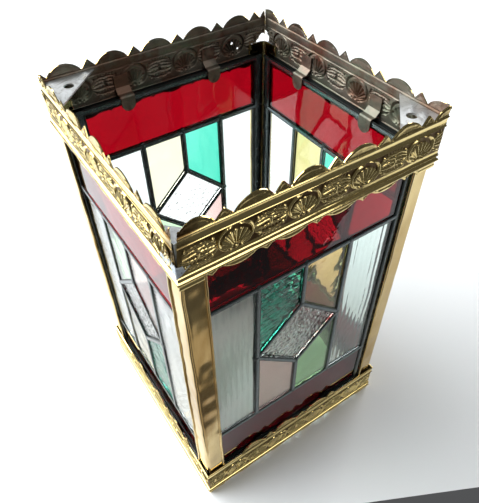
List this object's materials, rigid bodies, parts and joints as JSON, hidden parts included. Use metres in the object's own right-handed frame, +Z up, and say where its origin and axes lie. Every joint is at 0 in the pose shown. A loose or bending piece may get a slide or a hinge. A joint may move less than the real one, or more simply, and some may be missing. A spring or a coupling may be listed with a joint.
{
  "type": "leaded glass lantern body",
  "caption": "Square open-ended lantern of leaded stained-glass panels between folded brass corner posts, wrapped above and below by embossed scalloped brass bands.",
  "frame": {"origin": "centre of the square on the plane that the lower band's corners stand on", "axes": "+Z up along the lantern's axis, front panel faces -Y"},
  "size_m": [0.1624, 0.1624, 0.274],
  "materials": {
    "embossed_brass": "thin pressed sheet, aged to brown in the hollows and rubbed to dull gold on the relief",
    "folded_brass": "folded sheet with a lacquered satin shine, browned near the top",
    "tarnished_brass": "plain strip, dark and unpolished",
    "lead": "dark oxidised lead came, soft satin, rubbed brighter on the crown",
    "tinned_steel": "dull tinplate",
    "solder": "grey soft solder",
    "ruby_glass": "deep red cathedral glass, lightly rippled",
    "teal_glass": "blue-green hammered glass with diagonal ripple",
    "yellow_glass": "pale yellow opalescent glass, wavy",
    "pink_glass": "pale rose streaky glass",
    "green_glass": "pale apple-green glass, lightly rippled",
    "clear_glass": "clear reeded glass with soft waves",
    "diamond_glass": "clear crackled glass with seeds"
  },
  "bodies": {
    "root": {"back_bottom_band": "embossed_brass", "back_cames": "lead", "back_diamond": "diamond_glass", "back_green": "green_glass", "back_left_clear": "clear_glass", "back_left_gusset": "tinned_steel", "back_left_post": "folded_brass", "back_lower_ruby": "ruby_glass", "back_pink": "pink_glass", "back_right_clear": "clear_glass", "back_right_post": "folded_brass", "back_teal": "teal_glass", "back_top_band": "embossed_brass", "back_upper_ruby": "ruby_glass", "back_yellow": "yellow_glass", "front_bottom_band": "embossed_brass", "front_cames": "lead", "front_diamond": "diamond_glass", "front_green": "green_glass", "front_left_clear": "clear_glass", "front_left_gusset": "tinned_steel", "front_left_post": "folded_brass", "front_lower_ruby": "ruby_glass", "front_pink": "pink_glass", "front_right_clear": "clear_glass", "front_right_gusset": "tinned_steel", "front_right_post": "folded_brass", "front_teal": "teal_glass", "front_top_band": "embossed_brass", "front_upper_ruby": "ruby_glass", "front_yellow": "yellow_glass", "left_bottom_band": "embossed_brass", "left_cames": "lead", "left_diamond": "diamond_glass", "left_green": "green_glass", "left_left_clear": "clear_glass", "left_lower_ruby": "ruby_glass", "left_pink": "pink_glass", "left_right_clear": "clear_glass", "left_teal": "teal_glass", "left_top_band": "embossed_brass", "left_upper_ruby": "ruby_glass", "left_yellow": "yellow_glass", "lower_tongues": "tarnished_brass", "right_bottom_band": "embossed_brass", "right_cames": "lead", "right_diamond": "diamond_glass", "right_green": "green_glass", "right_left_clear": "clear_glass", "right_lower_ruby": "ruby_glass", "right_pink": "pink_glass", "right_right_clear": "clear_glass", "right_teal": "teal_glass", "right_top_band": "embossed_brass", "right_upper_ruby": "ruby_glass", "right_yellow": "yellow_glass", "solder_joints": "solder", "upper_tongues": "tarnished_brass"}
  },
  "joints": []
}
